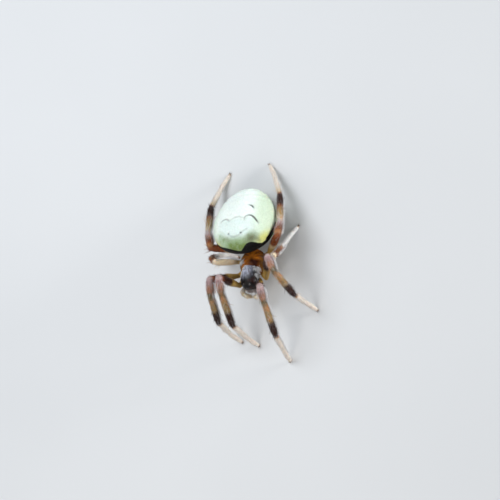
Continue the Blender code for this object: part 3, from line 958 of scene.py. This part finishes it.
jawMake = {
    "route": ((0.355, -1.95, 0.14), (0.365, -2.07, -0.1), (0.365, -2.18, -0.38), (0.357, -2.27, -0.65),
              (0.345, -2.3, -0.85)),
    "radii": ((0, 0.23), (0.3, 0.305), (0.75, 0.27), (1, 0.19)), "rings": (0.012, 26), "stations": 22,
    "sides": 28, "under": 0.05,
}
fangMake = {
    "reach": 0.46, "bow": (0.0, -0.05, -0.045), "stations": 18, "sides": 14,
    "radii": ((-1, 0.07), (-0.5, 0.066), (0.5, 0.04), (1, 0.012)),
}


def makeJaws(finish, clawFinish):
    jaws = {}
    for name, side in sides.items():
        path = curveThrough(np.array(jawMake["route"]) * (side, 1, 1), jawMake["stations"])
        place = np.linspace(0, 1, jawMake["stations"])
        depth, spacing = jawMake["rings"]
        radii = follow(jawMake["radii"], place) + depth * np.cos(place * spacing)
        points, faces = sweep(*rounded(path, radii), jawMake["sides"])
        points[:, 2] = np.minimum(points[:, 2], body["carapaceFloor"] - jawMake["under"])
        placed = onProsoma(points)
        colours = layer(plain("soot", points), ("umber", 0.7 * smooth(-0.5, -1.0, points[:, 2])))
        jaws[name] = makePart(f"chelicera_{name}_shell", "head_shell", ["chelicera_" + name], finish,
                              placed, faces, mottled(colours, placed, 0.2, 4.0, 11))
        # the fang crosses its solid's box from corner to corner, in a shallow bow
        low, high = (np.array(corner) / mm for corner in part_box("fang_" + name))
        stations = np.linspace(-1, 1, fangMake["stations"])
        path = (low + high) / 2 + np.outer(stations, (high - low) * fangMake["reach"] * (-side, 1, -1))
        path += np.outer(1 - stations**2, fangMake["bow"])
        points, faces = sweep(path, follow(fangMake["radii"], stations), fangMake["sides"])
        dark = np.append(np.repeat(smooth(0, 1, stations), fangMake["sides"]), (0, 1))
        makePart(f"fang_{name}_claw", "fang", ["fang_" + name], clawFinish, points, faces,
                 layer(plain("rust", points, 0.6), ("soot", dark)))
    return jaws


sternum = {"grid": (72, 50), "half": (0.5, 0.88, 0.385), "taper": 0.25, "level": -0.1, "scallop": 0.035,
           "rim": 0.02}


def makeSternum(finish):
    directions, faces = sphereGrid(*sternum["grid"])
    x, y, z = directions.T
    wide, long, tall = sternum["half"]
    scallop = 1 + sternum["scallop"] * np.cos(8 * np.arctan2(x, -y)) * smooth(0.9, 0.4, np.abs(z))
    points = np.stack((x * wide * (1 - sternum["taper"] * y) * scallop, y * long * scallop,
                       sternum["level"] + z * tall), 1)
    points[:, 2] += sternum["rim"] * bump(np.hypot(x, y), 0.82, 0.08) * (z < 0)
    placed = onProsoma(points)
    colours = layer(plain("chestnut", points, 0.5),
                    ("amber", 0.75 * bump(x, 0, 0.22) * smooth(0.7, -0.3, y)))
    makePart("sternum_plate", "belly_shell", ["sternum"], finish, placed, faces,
             mottled(colours, placed, 0.2, 4.0, 12))


claw = {
    # the side each claw stands on, and its size
    "set": ((-1, 1.0), (1, 1.0), (0, 0.6)),
    "length": 0.2, "ahead": 0.1, "rise": 0.02, "apart": 0.06, "splay": 0.03, "arch": 0.05, "drop": 0.09,
    "lowest": 0.002,
    "radii": ((0, 0.03), (0.6, 0.022), (1, 0.004)), "stations": 12, "sides": 8,
}


def clawParts():
    reach = np.linspace(0, 1, claw["stations"])[:, None]
    radii = follow(claw["radii"], reach.ravel())
    for joints in legJoints.values():
        way = unit(joints[6] - joints[5])
        level = unit(np.array((way[0], way[1], 0)))
        across = np.cross((0, 0, 1), level)
        for side, size in claw["set"]:
            root = joints[6] + level * claw["ahead"] + (0, 0, claw["rise"] * (1.5 + size))
            aside = across * side * (claw["apart"] + claw["splay"] * reach)
            bow = (claw["arch"] * np.sin(reach * 2.4) - claw["drop"] * reach**2) * size
            path = root + level * reach * claw["length"] * size + aside + bow * (0, 0, 1)
            points, faces = sweep(path, radii, claw["sides"])
            points[:, 2] = np.maximum(points[:, 2], claw["lowest"])
            yield points, faces


def makeClaws(finish):
    # Three small claws under the tip of every foot
    points, faces = joined(clawParts())
    dark = np.append(np.repeat(np.linspace(0, 1, claw["stations"]), claw["sides"]), (0, 1))
    dark = np.tile(dark, len(legNames) * len(claw["set"]))
    makePart("foot_claws", "fang", [], finish, np.clip(points, cadLow, cadHigh), faces,
             layer(plain("horn", points), ("umber", dark)))


# Coat: every hair is a thin closed cone, bent back towards the skin
hair = {
    "sides": (90, 210, 330),
    "rings": (0, 0.5),  # where a hair has its rings, from root to tip; the tip is a point
    "taper": ((0, 1), (0.5, 0.72), (1, 0.2)),
    "sink": 0.02,
    "patch": 0.003,  # across each hair's place on the unwrap
}


def growHairs(name, slot, coat, roots, ways, out, lengths, widths, unwrap, colours, finish):
    # The ways are where the hairs point, and out is the skin's own way out under each of them
    rings = coat.get("rings", hair["rings"])
    shares, rows, count = np.array((*rings, 1.0)), len(rings), len(roots)
    side = unit(np.cross(ways, out))
    up = np.cross(side, ways)
    long = lengths[:, None, None]
    path = (roots - unit(ways) * hair["sink"])[:, None] + ways[:, None] * (long * shares[:, None])
    path -= out[:, None] * (coat["bend"] * long * (shares**2)[:, None])
    thick = (widths[:, None] * follow(hair["taper"], shares[:-1]))[..., None, None]
    turns = np.radians(hair["sides"])[:, None]
    circle = np.cos(turns) * side[:, None, None] + np.sin(turns) * up[:, None, None]
    corners = (path[:, :-1, None] + thick * circle).reshape(count, -1, 3)
    points = np.clip(np.concatenate((corners, path[:, -1:]), 1), cadLow, cadHigh)
    each = points.shape[1]
    triangles = [(0, 2, 1)]
    for row in range(rows - 1):
        for corner in range(3):
            a, b = row * 3 + corner, row * 3 + (corner + 1) % 3
            triangles += [(a, b, b + 3), (a, b + 3, a + 3)]
    for corner in range(3):
        triangles.append(((rows - 1) * 3 + corner, (rows - 1) * 3 + (corner + 1) % 3, each - 1))
    triangles = (np.array(triangles)[None] + np.arange(count)[:, None, None] * each).reshape(-1, 3)
    piece = makePart(name, slot, [], finish, points.reshape(-1, 3), triangles.tolist(),
                     np.repeat(colours, each, axis=0))
    # each hair's unwrap is a small patch at its root's place
    across = np.append(np.tile((-0.5, 0, 0.5), rows), 0)
    along = np.append(np.repeat(shares[:-1], 3) - 0.5, 0.5)
    patch = hair["patch"]
    corner = np.clip(unwrap, patch, 1 - patch)[:, None] + np.stack((across, along), 1) * patch
    unwrapped = piece.data.uv_layers.new(name="OFBake").data
    unwrapped.foreach_set("uv", corner.reshape(-1, 2)[triangles.ravel()].ravel())


class Ground:
    # The skin or a shell as a bed for hairs: faces to draw roots from, with their size and way out
    def __init__(self, piece):
        piece.data.calc_loop_triangles()
        corners = np.zeros(len(piece.data.loop_triangles) * 3, int)
        piece.data.loop_triangles.foreach_get("vertices", corners)
        self.corners = readPoints(piece.data)[corners.reshape(-1, 3)] / mm
        first, second, third = self.corners.transpose(1, 0, 2)
        cross = np.cross(second - first, third - first)
        self.area, self.out = np.linalg.norm(cross, axis=1) / 2, unit(cross)
        self.middle = self.corners.mean(1)

    def draw(self, count, weight):
        # Random places on the faces, more of them where the weight is larger, and the way out there
        chance = self.area * weight
        picked = rng.choice(len(chance), count, p=chance / chance.sum())
        a, b = rng.random((2, count))
        fold = a + b > 1
        a[fold], b[fold] = 1 - a[fold], 1 - b[fold]
        first, second, third = self.corners[picked].transpose(1, 0, 2)
        return first + a[:, None] * (second - first) + b[:, None] * (third - first), self.out[picked]


def combed(coat, ways, out, extra=0):
    # Lays directions on the skin, turned a little at random, and raised from it by the coat's lift
    lift = np.radians(coat["lift"] + extra + coat["liftSpread"] * rng.normal(size=len(out)))[:, None]
    flat = unit(ways - out * (ways * out).sum(1, keepdims=True))
    flat = unit(flat + coat["stray"] * rng.normal(size=flat.shape))
    flat = unit(flat - out * (flat * out).sum(1, keepdims=True))
    return flat * np.cos(lift) + out * np.sin(lift)


def varied(size, count, low=0.8, high=1.2):
    return size * rng.uniform(low, high, count)


def scattered(share, spread, count):
    return np.clip(share + spread * rng.normal(size=count), 0, 1)


def limbUnwrap(at, off, across):
    # How far along the limb, and how far round it from straight up
    around = np.arctan2(across, off[:, 2]) / (2 * math.pi) + 0.5
    return np.stack((0.02 + 0.96 * at / 6, 0.02 + 0.96 * around), 1)


legCoat = {
    # how many hairs, their length, width and lift, and where along the leg they start and end
    "kinds": {
        "coat": {"hairs": 2900, "length": 0.36, "width": 0.0085, "lift": 17, "bend": 0.1,
                 "starts": (1.7, 2.2), "least": 0.35},
        "bristles": {"hairs": 200, "length": 0.62, "width": 0.012, "lift": 32, "bend": 0.22,
                     "rings": (0, 0.35, 0.7), "starts": (1.6, 2.4)},
        "rimLitFringe": {"hairs": 350, "length": 0.5, "width": 0.013, "lift": 48, "bend": 0.3,
                   "starts": (1.9, 2.1), "ends": (5.4, 4.6)},
        "spines": {"hairs": 34, "length": 0.72, "width": 0.024, "lift": 44, "bend": 0.1,
                   "rings": (0, 0.35, 0.7), "starts": (1.3, 1.7), "ends": (5.2, 4.8)},
    },
    "liftSpread": 7, "stray": 0.22,
    "thick": {"left_1": 900, "left_2": 900},  # legs with a thicker rim-lit fringe
    "rimLightWay": (0.9, -0.1, -0.42), "rimLitEdge": (0.86, 0.97),
    "fewer": {3: 0.7}, "shorter": {3: 0.85},  # on the third pair
    "lengths": ((0, 0.5), (1, 0.7), (2, 1), (4, 0.85), (5, 0.6), (6, 0.4)),
    # share of pale in the hairs along each leg
    "pale": {
        "front": ((0, 0.2), (1.4, 0.2), (1.5, 0.05), (1.92, 0.05), (2.0, 0.3), (2.3, 0.4), (3.0, 0.3),
                  (3.55, 0.3), (3.68, 0.05), (3.95, 0.05), (4.05, 0.75), (6, 0.85)),
        "third": ((0, 0.2), (1.1, 0.3), (1.3, 0.6), (2.0, 0.6), (2.25, 0.05), (3.1, 0.05), (3.7, 0.8),
                  (6, 0.85)),
        "rear": ((0, 0.2), (1.5, 0.2), (1.6, 0.05), (1.9, 0.05), (2.3, 0.15), (2.9, 0.6), (3.2, 0.35),
                 (3.6, 0.2), (3.72, 0.05), (3.95, 0.05), (4.08, 0.75), (6, 0.85)),
    },
}


def coatLegs(ground, region, finish):
    places = region["place"]
    # a fringe of near-white hairs on the side of each leg that faces the rim light: real hairs with painted
    # rim light
    low, high = legCoat["rimLitEdge"]
    rimLitFringe = smooth(low, high, ground.out @ legCoat["rimLightWay"])
    for name, joints in legJoints.items():
        pair = int(name[-1])
        mine = (region["kind"] == "leg") & (region["limb"] == name)
        for kind, settings in legCoat["kinds"].items():
            coat = {**legCoat, "least": 0, **settings}
            weight = coat["least"] + (1 - coat["least"]) * smooth(*coat["starts"], places)
            amount = coat["hairs"]
            if "ends" in coat:
                weight = weight * smooth(*coat["ends"], places)
            if kind == "rimLitFringe":
                weight, amount = weight * rimLitFringe, coat["thick"].get(name, amount)
            roots, out = ground.draw(int(amount * coat["fewer"].get(pair, 1)), mine * weight)
            at, _, way, foot = nearestOnPath(roots, joints)
            ways, count = combed(coat, way, out), len(roots)
            lengths = varied(coat["length"], count, 0.7, 1.25) * follow(coat["lengths"], at)
            lengths *= coat["shorter"].get(pair, 1)
            widths = varied(coat["width"], count)
            across = (roots - foot) @ unit(np.cross(unit(joints[6] - joints[1]), (0, 0, 1)))
            pale = follow(coat["pale"][legPattern[pair]], at)
            dark = legDark(at, name)
            if kind == "coat":
                share = scattered(pale, 0.12, count)
            elif kind == "rimLitFringe":
                # near white all through, painted rim light
                share = scattered(0.95, 0.1, count)
            else:
                share = np.where(rng.random(count) < (0.3 + 0.5 * pale) * (1 - 0.8 * dark), 0.8, 0.1)
            under = blend(legLook(at, name, roots)[0], tone("hairDark"), dark)
            growHairs(f"{kind}_{name}", "foot_skin", coat, roots, ways, out, lengths, widths,
                      limbUnwrap(at, roots - foot, across), blend(under, tone("hairPale"), share), finish)


bodyCoat = {
    "abdomen": {"hairs": 5200, "length": 0.2, "width": 0.006, "lift": 24, "liftSpread": 9, "stray": 0.3,
                "bend": 0.25, "pale": 0.45},
    "palp": {"hairs": 1100, "length": 0.24, "width": 0.008, "lift": 22, "liftSpread": 8, "stray": 0.25,
             "bend": 0.12, "lengths": ((0, 0.7), (3, 1), (6, 1.15))},
    # on the carapace a few dark hairs, and the white tufts, longer, thicker and more upright
    "thorax": {"hairs": 300, "tufted": 260, "length": 0.2, "tone": "chestnut"},
    "head": {"hairs": 420, "tufted": 620, "length": 0.18, "tone": "hairDark"},
    "carapace": {"width": 0.005, "lift": 14, "liftSpread": 6, "stray": 0.3, "bend": 0.2,
                 "tuftLift": 16, "tuftLength": 0.8, "tuftWidth": 0.008},
    "jaw": {"hairs": 420, "length": 0.4, "width": 0.008, "lift": 38, "liftSpread": 10, "stray": 0.35,
            "bend": 0.2},
}


def coatAbdomen(ground, region, finish):
    # sparse, short and fine, lying back
    coat = bodyCoat["abdomen"]
    thin = 0.5 + 0.5 * smooth(0.2, -0.4, onEgg(ground.middle)[:, 2])
    roots, out = ground.draw(coat["hairs"], (region["kind"] == "abdomen") * thin)
    ways = combed(coat, np.tile(abdomenTurn @ (0, 1, 0), (len(roots), 1)), out)
    x, y, z = unit(onEgg(roots)).T
    unwrap = np.stack((np.arctan2(x, z) / (2 * math.pi) + 0.5, np.arccos(np.clip(-y, -1, 1)) / math.pi), 1)
    under = abdomenLook(roots)[0]
    pale = coat["pale"] * smooth(0.02, 0.1, under.mean(1))
    growHairs("coat_abdomen", "abdomen_skin", coat, roots, ways, out,
              varied(coat["length"], len(roots), 0.6, 1.3), varied(coat["width"], len(roots)),
              unwrap, blend(under, tone("bone"), pale), finish)


def coatPalps(ground, region, finish):
    # dense, with longer hairs at the tip
    coat = bodyCoat["palp"]
    for name, joints in palpJoints.items():
        roots, out = ground.draw(coat["hairs"], (region["kind"] == "palp") & (region["limb"] == name))
        at, _, way, foot = nearestOnPath(roots, joints)
        ways = combed(coat, way, out)
        lengths = varied(coat["length"], len(roots), 0.7, 1.3) * follow(coat["lengths"], at)
        share = scattered(0.3, 0.25, len(roots))
        growHairs(f"coat_palp_{name}", "palp_skin", coat, roots, ways, out, lengths,
                  varied(coat["width"], len(roots)), limbUnwrap(at, roots - foot, (roots - foot)[:, 0]),
                  blend(tone("ivory"), tone("bone"), share), finish)


def coatCarapace(part, piece, finish):
    # fine dark hairs, and white tufts at both sides where the head rises from the thorax
    coat, ground = {**bodyCoat["carapace"], **bodyCoat[part]}, Ground(piece)
    local = fromProsoma(ground.middle)
    x, y, z = local.T
    clear = (z > 0.4).astype(float)
    for _, place, _, radius in eyePlaces():
        clear = clear * smooth(radius * 1.1, radius * 1.5, np.linalg.norm(local - place, axis=1))
    if part == "head":
        seam = clear * tufts(np.abs(x), y, shell["headTufts"])
    else:
        seam = clear * tufts(x, y, shell["sideTufts"])
    sparse = ground.draw(coat["hairs"], clear * (0.6 + 0.4 * smooth(0.9, 0.5, z)))
    roots, out = (np.vstack(pair) for pair in zip(sparse, ground.draw(coat["tufted"], seam)))
    tuft = np.repeat((0.0, 1.0), (coat["hairs"], coat["tufted"]))
    x, y, _ = fromProsoma(roots).T
    # forward, the fine hairs also inward and the tufts outward
    aside = np.sign(x) * (1.3 * tuft - 0.5)
    ahead = prosomaTurn @ (0, -1, 0) + aside[:, None] * prosomaTurn[:, 0]
    ways = combed(coat, ahead, out, coat["tuftLift"] * tuft)
    share = scattered(0.08 + 0.9 * tuft, 0.1, len(roots))
    lengths = varied(coat["length"] * (1 + coat["tuftLength"] * tuft), len(roots), 0.6, 1.25)
    widths = varied(coat["width"] + coat["tuftWidth"] * tuft, len(roots))
    growHairs("coat_" + part, part + "_shell", coat, roots, ways, out, lengths, widths,
              np.stack((x / 3.2 + 0.5, y / 5.4 + 0.62), 1),
              blend(tone(coat["tone"]), tone("hairPale"), share), finish)


def coatJaws(jaws, finish):
    # stiff hairs over the front of the jaws, pointing down and forward
    coat = bodyCoat["jaw"]
    for name, jaw in jaws.items():
        ground = Ground(jaw)
        ahead, level = ground.out @ prosomaTurn[:, 1], fromProsoma(ground.middle)[:, 2]
        roots, out = ground.draw(coat["hairs"], smooth(0.3, -0.5, ahead) * smooth(0.1, -0.15, level))
        ways = combed(coat, np.tile(prosomaTurn @ (0, -0.6, -1.0), (len(roots), 1)), out)
        x, _, z = fromProsoma(roots).T
        share = rng.uniform(0.2, 0.9, len(roots))
        growHairs(f"coat_jaw_{name}", "head_shell", coat, roots, ways, out,
                  varied(coat["length"], len(roots), 0.6, 1.2), varied(coat["width"], len(roots)),
                  np.stack((x / 1.6 + 0.5, z / 1.6 + 0.75), 1),
                  blend(tone("chestnut"), tone("hairPale"), share), finish)


# Stage: camera, floor and soft light
view = {"bearing": 70, "height": 65, "roll": 77.9, "across": 47.5, "lens": 900, "lift": (4.3, -29)}
stage = {
    "floorSize": 3000.0, "floorColour": (0.66, 0.67, 0.68, 1),
    "skyColour": (0.9, 0.95, 1.0, 1), "skyPower": 0.4,
    # shares of right, up, back and of the world's up, then distance, size, power and colour
    "lights": {
        "key_soft": ((-0.8, 0.5, 0.7, 0), 120, 80, 0.095, (0.93, 0.96, 1.0)),
        "fill_soft": ((-0.4, -0.6, 0.75, 0), 120, 80, 0.05, (1.0, 0.97, 0.93)),
        "rim_soft": ((1.0, 0.3, 0.15, 0.25), 110, 50, 0.17, (1.0, 0.99, 0.97)),
    },
}


def makeCamera():
    back = direction(view["bearing"], view["height"])
    bearing, roll = math.radians(view["bearing"]), math.radians(view["roll"])
    level = np.array((math.cos(bearing), math.sin(bearing), 0))
    over = np.cross(back, level)
    right = level * math.cos(roll) - over * math.sin(roll)
    up = over * math.cos(roll) + level * math.sin(roll)
    aside, lift = np.array(view["lift"]) * view["across"] / 500
    camera = bpy.data.objects.new("camera", bpy.data.cameras.new("camera"))
    scene.collection.objects.link(camera)
    camera.data.lens = view["lens"]
    camera.data.clip_start, camera.data.clip_end = 0.01, 20
    away = view["across"] * view["lens"] / camera.data.sensor_width
    matrix = np.eye(4)
    matrix[:3, 0], matrix[:3, 1], matrix[:3, 2] = right, up, back
    matrix[:3, 3] = (abdomenCentre + right * aside + up * lift + back * away) * mm
    camera.matrix_world = Matrix(matrix.tolist())
    scene.camera = camera
    print("camera right", np.round(right, 3), "up", np.round(up, 3))
    return right, up, back


def makeFloor():
    points = np.array(((-1, -1, 0), (1, -1, 0), (1, 1, 0), (-1, 1, 0))) * stage["floorSize"]
    finish = Finish("studio_floor")
    grain = finish.grain(0.05, 2.0)
    material = finish.set(Base_Color=finish.tint(stage["floorColour"], 0.97 + 0.06 * grain),
                          Roughness=0.75 + 0.1 * grain)
    floor = makePiece("floor", points, [(0, 1, 2, 3)], material)


def makeLight(name, towards, distance, size, power, colour):
    data = bpy.data.lights.new(name, "AREA")
    data.shape, data.size, data.energy, data.color = "DISK", size * mm, power, colour
    light = bpy.data.objects.new(name, data)
    way = unit(towards)
    light.location = Vector((abdomenCentre + way * distance) * mm)
    light.rotation_mode = "QUATERNION"
    light.rotation_quaternion = Vector(way).to_track_quat("Z", "Y")
    scene.collection.objects.link(light)


def makeStage():
    axes = (*makeCamera(), np.array((0, 0, 1)))
    makeFloor()
    scene.world = bpy.data.worlds.new("sky")
    scene.world.use_nodes = True
    colour, power = scene.world.node_tree.nodes["Background"].inputs[:2]
    colour.default_value, power.default_value = stage["skyColour"], stage["skyPower"]
    for name, (shares, *settings) in stage["lights"].items():
        makeLight(name, sum(share * axis for share, axis in zip(shares, axes)), *settings)
    print("stage set")


makeStage()
skin = makeSkin(skinFinish())
thoraxFinish, headFinish, clawFinish = (shellFinish(name) for name in hardFinishes)
thorax, head = makeThorax(thoraxFinish), makeHead(headFinish)
makeEyes(eyeFinish())
jaws = makeJaws(headFinish, clawFinish)
makeSternum(thoraxFinish)
makeClaws(clawFinish)
hairs = hairFinish()
ground = Ground(skin)
region = skinRegions(ground.middle)
coatLegs(ground, region, hairs)
coatAbdomen(ground, region, hairs)
coatPalps(ground, region, hairs)
coatCarapace("thorax", thorax, hairs)
coatCarapace("head", head, hairs)
coatJaws(jaws, hairs)
